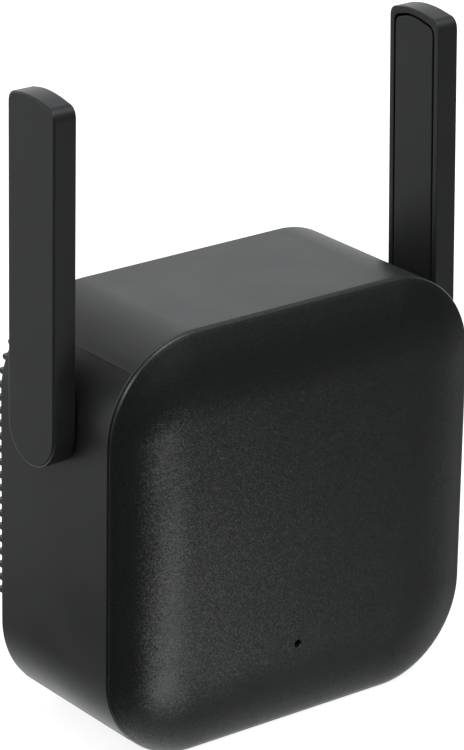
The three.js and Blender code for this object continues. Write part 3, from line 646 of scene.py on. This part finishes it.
# ---------------------------------------------------------------- main casing
def main_casing():
    front, edge, inner = 0.3, 0.16, 0.1
    profile = arc(front, CASING_MOUTH_Y + front, front, 270, 180) + arc(edge, REAR_Y - edge, edge, 180, 90)
    profile += arc(WALL - inner, REAR_Y - inner, inner, 90, 0, 3)
    profile += arc(WALL - inner, CASING_MOUTH_Y + inner, inner, 0, -90, 3)
    rings = []
    for inset, y in profile:
        ridge = WITNESS_HEIGHT if inset < edge / 2 else 0
        swell = SWELL * (REAR_Y - y) / (REAR_Y - CASING_MOUTH_Y)
        rings.append(body_ring(inset - swell, y, RIDGED_STEPS, ridge=ridge))
    casing = skin(rings, joined=True)
    teeth = rib_set(0.06, WALL - 0.05, REAR_Y - 0.3, False, True)
    casing = join(casing, *teeth)
    posts = []
    for x, z in SCREW_PLACES:
        wall_z = math.copysign(HALF - WALL / 2, z)
        reach = (POST_FRONT_Y, BACK_INNER_Y - GAP)
        posts.append(turned([(POST_RADIUS, y) for y in reach], (x, 0, z)))
        posts.append(plate(POST_WEB_HALF, abs(wall_z - z) / 2, 0.1, [(0, y) for y in reach],
                           (x, (wall_z + z) / 2)))
    casing = join(casing, *posts[0::2])
    casing = join(casing, *posts[1::2])
    bosses, bores = [], []
    for name, side in SIDES.items():
        hinge = HINGE["antenna_" + name]
        centre = (0, hinge.y, hinge.z)
        boss = [(BOSS_RADIUS, side * x) for x in (BOSS_INNER_X, BOSS_OUTER_X)]
        bosses.append(turned(boss, centre, "X"))
        bores.append(flared_cutter(centre, "X", BORE, side * HALF, side * BORE_INNER_X, 0.2))
    casing = join(casing, *bosses)
    pinhole = flared_cutter((*RESET, 0), "Z", RESET_PINHOLE, CASING_LOW.z, RESET_PINHOLE_TOP, 0.15)
    pilot = [(PILOT_RADIUS, PILOT_FRONT_Y), (PILOT_RADIUS, 0)]
    pilots = [turned(pilot, (x, 0, z)) for x, z in SCREW_PLACES]
    return cut(casing, *bores, pinhole, *pilots)


# ---------------------------------------------------------------- rear cover
def rear_cover():
    edge = 0.2
    inset = BACK_INSET
    back = body_skin([(inset + 0.1, BACK_INNER_Y), (inset, BACK_INNER_Y + 0.1),
                      *arc(inset + edge, REAR_Y - edge, edge, 180, 90)])
    slots = []
    half_gap = (RIB_PITCH - RIB_THICKNESS) / 2
    for z in [place - RIB_PITCH / 2 for place in RIB_PLACES[1:]]:
        limit = inset + VENT_EDGE
        x_outer = min(outline_x(limit, z + half_gap), outline_x(limit, z - half_gap))
        middle, half = (VENT_INNER_X + x_outer) / 2, (x_outer - VENT_INNER_X) / 2
        for side in SIDES.values():
            slots.append(plate(half, half_gap, half_gap * 0.98, [(0, BACK_INNER_Y - 1), (0, 1)],
                               (side * middle, z)))
    back = cut(back, *slots)
    back = join(back, *rib_set(inset + 0.08, None, REAR_Y - 0.3, True, True))
    pad_edge = 0.35
    pad_profile = [(0, REAR_Y - 0.4), *[(i, y) for i, y in arc(pad_edge, -pad_edge, pad_edge, 180, 90)]]
    back = join(back, plate(*PAD_HALF, 4, pad_profile))
    label = plate(*LABEL_HALF, 0.8, [(0, REAR_Y - LABEL_DEPTH), (0, 1)], (0, LABEL_Z))
    counterbores = [flared_cutter((x, 0, z), "Y", SCREW_HEAD + GAP, REAR_Y, REAR_Y - 1.2, 0.15)
                    for x, z in SCREW_PLACES]
    blade_slots = [plate(BLADE_HALF_THICKNESS + GAP, BLADE_HALF_HEIGHT + GAP, 0.3,
                         [(0, BACK_INNER_Y - 1), (0, 1)], (side * BLADE_X, 0)) for side in SIDES.values()]
    return cut(back, label, *counterbores, *blade_slots)


# ---------------------------------------------------------------- plug blades and screws
def blade(side):
    """Flat blade with a tapered end, rounded edges and a round locating hole."""
    tail, reach, half = BLADE_LOW.y, BLADE_HIGH.y, BLADE_HALF_HEIGHT
    long, deep = BLADE_TAPER
    edge = 0.22

    def outline(inset):
        low, high, up = tail + inset, reach - inset, half - inset
        return [(low, -up), (high - long, -up), (high, deep - up),
                (high, up - deep), (high - long, up), (low, up)]

    profile = [(inset, side * BLADE_X + x) for inset, x in
               arc(edge, BLADE_HALF_THICKNESS - edge, edge, 90, 180, 4)
               + arc(edge, edge - BLADE_HALF_THICKNESS, edge, 180, 270, 4)]
    body = skin([[Vector((x, y, z)) for y, z in outline(inset)] for inset, x in profile])
    hole = [(BLADE_HOLE_RADIUS, -20), (BLADE_HOLE_RADIUS, 20)]
    return cut(body, turned(hole, (0, reach - BLADE_HOLE_FROM_TIP, 0), "X"))


def case_screw(x, z):
    """Pan head with a tapered cross recess, and a plain shank."""
    top, under = SCREW_HEAD_Y, SCREW_HEAD_Y - 1
    profile = [(SHANK_RADIUS, top - SHANK_REACH), (SHANK_RADIUS, under),
               (SCREW_HEAD - 0.1, under), (SCREW_HEAD, under + 0.1)]
    profile += arc(SCREW_HEAD - 0.5, top - 0.5, 0.5, 0, 90, 6)
    head = turned(profile, (x, 0, z))
    arms = []
    levels = [(CROSS_TAPER, top - CROSS_DEPTH), (1, top), (1, top + 1)]
    for half_x, half_z in (CROSS_HALF, CROSS_HALF[::-1]):
        arms.append(skin([[Vector((x + side_x * half_x * share, y, z + side_z * half_z * share))
                           for side_x, side_z in [(1, 1), (-1, 1), (-1, -1), (1, -1)]]
                          for share, y in levels]))
    return cut(cut(head, arms[0]), arms[1])


# ---------------------------------------------------------------- antennas
def antenna_outline(inset):
    """Outline on the YZ plane about the hinge axis, drawn in by an inset."""
    half = ANTENNA_HALF_WIDTH - inset
    tip = ANTENNA_LENGTH - inset
    front, back = tip - TIP_FALL_FRONT, tip - TIP_FALL_BACK
    points = arc(0, 0, half, 180, 360, 32)
    points.append((half, back - TIP_CORNER_BACK))
    points += quadratic(points[-1], (half, back), (half - TIP_CORNER_BACK, back + TIP_RISE_BACK))
    crown = (TIP_CROWN[0], tip + TIP_CROWN[1])
    points += quadratic(points[-1], crown, (TIP_CORNER_FRONT - half, front + TIP_RISE_FRONT))
    points += quadratic(points[-1], (-half, front), (-half, front - TIP_CORNER_FRONT))
    return points


def antenna_mesh(name, profile):
    """Skin of the antenna's outline through a profile of (inset, x), leaned about the hinge."""
    side, hinge = SIDES[name], HINGE["antenna_" + name]
    lean = Matrix.Rotation(math.radians(LEAN[name]), 3, "X")
    centre = Vector((0, hinge.y, hinge.z))
    rings = [[centre + lean @ Vector((side * x, y, z)) for y, z in antenna_outline(inset)]
             for inset, x in profile]
    return skin(rings)


def antenna_shell(name):
    outer, inner = 0.35, 0.12
    profile = arc(outer, ANTENNA_OUTER_X - outer, outer, 90, 180)
    profile += arc(inner, ANTENNA_INNER_X + inner, inner, 180, 270, 4)
    profile += arc(ANTENNA_WALL - inner, ANTENNA_INNER_X + inner, inner, 270, 360, 4)
    profile += [(ANTENNA_WALL, ANTENNA_OUTER_X - ANTENNA_WALL)]
    return antenna_mesh(name, profile)


def antenna_cover(name):
    outline = ANTENNA_WALL + GAP
    edge = 0.12
    profile = arc(outline + edge, ANTENNA_INNER_X + edge, edge, 270, 180, 4)
    profile += [(outline, ANTENNA_INNER_X + ANTENNA_COVER)]
    hinge = HINGE["antenna_" + name]
    side = SIDES[name]
    hole = turned([(BORE, side * x) for x in ANTENNA_HOLE_X], (0, hinge.y, hinge.z), "X")
    return cut(antenna_mesh(name, profile), hole)


# ---------------------------------------------------------------- assembly
def build(materials):
    def add(name, mesh, slot, body="housing"):
        piece(name + "_skin", mesh, materials[slot], slot, body, name)

    add("front_cover", front_cover(), "cover_plastic")
    add("main_casing", main_casing(), "casing_plastic")
    add("rear_cover", rear_cover(), "casing_plastic")
    for name, side in SIDES.items():
        body = "antenna_" + name
        add("antenna_shell_" + name, antenna_shell(name), "antenna_plastic", body)
        add("antenna_cover_" + name, antenna_cover(name), "antenna_plastic", body)
        add("plug_blade_" + name, blade(side), "nickel")
    for number, (x, z) in enumerate(SCREW_PLACES, 1):
        add(f"case_screw_{number}", case_screw(x, z), "steel")


def dress_frame_nodes(materials):
    """Gives each CAD node that still shows its slot's procedural material."""
    for row in frame["record"]["subparts"]:
        node = frame["nodes"][row["node"]]
        if node.hide_render:
            continue
        node.data.materials.clear()
        node.data.materials.append(materials[row["material_slot"]])


# ---------------------------------------------------------------- stage, in metres
FLOOR_HALF = 3.0
FLOOR_DROP = 0.0002
FLOOR_GLOW = 0.84
BACKDROP_GLOW = 1.1          # what the camera sees behind the object, which lights nothing
LIGHT_COLOR = (0.985, 1, 1.01, 1)
BASE_LIGHT = 0.04
SHADE_PLACE = (-0.062, 0.014)
SHADE_RADIUS = 0.031
SHADE_DEPTH = 1.0            # how dark its middle is, from 0 to 1
SHADE_DROP = 0.0001
# Each soft light round the object: degrees right of its front, degrees up, sharpness, strength.
# Most of these numbers were made by a separate program, which fitted nine lights to the photo's grey
# levels. Rows 3, 4, 6, 8 and 9 are its lights, rounded, row 1 is one with a little more strength, row 7
# is two of them merged, and row 2 has the direction of one. Only rows 5 and 10 are not from it.
SOFT_LIGHTS = [
    (167, 11, 3.4, 1.7),
    (28.3, -28.3, 170, 3.8),
    (22, -66, 19, 3.2),
    (135, -69, 9, 3.1),
    (43, -24, 60, 0.25),
    (69, -31, 30, 0.6),
    (16, 64, 11, 7),
    (-113, 11, 10, 2.1),
    (23, 7, 30, 0.45),
    (-66, 36, 32, 6),
]


def stage_sheet(name, material, size, place):
    """Flat square that neither lights the object nor shades it."""
    mesh = bmesh.new()
    bmesh.ops.create_grid(mesh, x_segments=8, y_segments=8, size=size)
    data = bpy.data.meshes.new(name)
    mesh.to_mesh(data)
    mesh.free()
    data.materials.append(material)
    sheet = bpy.data.objects.new(name, data)
    sheet.location = place
    sheet.visible_diffuse = False
    sheet.visible_shadow = False
    bpy.context.scene.collection.objects.link(sheet)
    sheet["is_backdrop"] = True
    return sheet


def add_floor():
    nodes = Nodes("floor_paper")
    cloud = nodes.noise(60.0, detail=2.0)
    nodes.link(nodes.mix(cloud, (0.26, 0.26, 0.26), (0.28, 0.28, 0.28)), "Base Color")
    nodes.set(Roughness=0.9, Emission_Color=(1, 1, 1, 1), Emission_Strength=FLOOR_GLOW)
    nodes.link(nodes.bump(nodes.noise(1.5), 0.01, 0.2), "Normal")
    floor = stage_sheet("floor", nodes.material, FLOOR_HALF, (0, 0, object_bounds()[0].z - FLOOR_DROP))
    floor.visible_glossy = False


def add_shade():
    """Soft dark patch on the floor by the left wall, which only reflections see.

    It stands for nothing known in the photo. Its place and size were set so that the wall
    gets darker towards the bottom as it does there.
    """
    nodes = Nodes("shade")
    nodes.set(Base_Color=(0, 0, 0, 1), Roughness=1.0)
    away = nodes.add("ShaderNodeVectorMath", {0: nodes.place}, operation="LENGTH").outputs["Value"]
    nodes.link(nodes.between(away, 0.0, SHADE_RADIUS, SHADE_DEPTH, 0.0), "Alpha")
    x, y = SHADE_PLACE
    shade = stage_sheet("shade", nodes.material, SHADE_RADIUS, (x, y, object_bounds()[0].z - SHADE_DROP))
    shade.visible_camera = False


def add_studio():
    """Soft lights all round, as bright spots that fade out over the world."""
    world = bpy.data.worlds.new("studio")
    bpy.context.scene.world = world
    world.use_nodes = True
    tree = world.node_tree
    direction = tree.nodes.new("ShaderNodeTexCoord").outputs["Generated"]

    def calculate(operation, one, two=0.0):
        node = tree.nodes.new("ShaderNodeMath")
        node.operation = operation
        for socket, value in zip(node.inputs, (one, two)):
            if isinstance(value, bpy.types.NodeSocket):
                tree.links.new(value, socket)
            else:
                socket.default_value = value
        return node.outputs["Value"]

    total = BASE_LIGHT
    for right, up, sharpness, strength in SOFT_LIGHTS:
        right, up = math.radians(right), math.radians(up)
        towards = (math.sin(right) * math.cos(up), -math.cos(right) * math.cos(up), math.sin(up))
        facing = tree.nodes.new("ShaderNodeVectorMath")
        facing.operation = "DOT_PRODUCT"
        tree.links.new(direction, facing.inputs[0])
        facing.inputs[1].default_value = towards
        off = calculate("SUBTRACT", facing.outputs["Value"], 1.0)
        share = calculate("EXPONENT", calculate("MULTIPLY", off, sharpness))
        total = calculate("ADD", calculate("MULTIPLY", share, strength), total)
    seen = tree.nodes.new("ShaderNodeLightPath").outputs["Is Camera Ray"]
    total = calculate("MAXIMUM", total, calculate("MULTIPLY", seen, BACKDROP_GLOW))
    background = tree.nodes["Background"]
    background.inputs["Color"].default_value = LIGHT_COLOR
    tree.links.new(total, background.inputs["Strength"])
    bpy.context.scene.view_settings.view_transform = "Standard"


add_camera()
materials = make_materials()
build(materials)
dress_frame_nodes(materials)
add_floor()
add_shade()
add_studio()
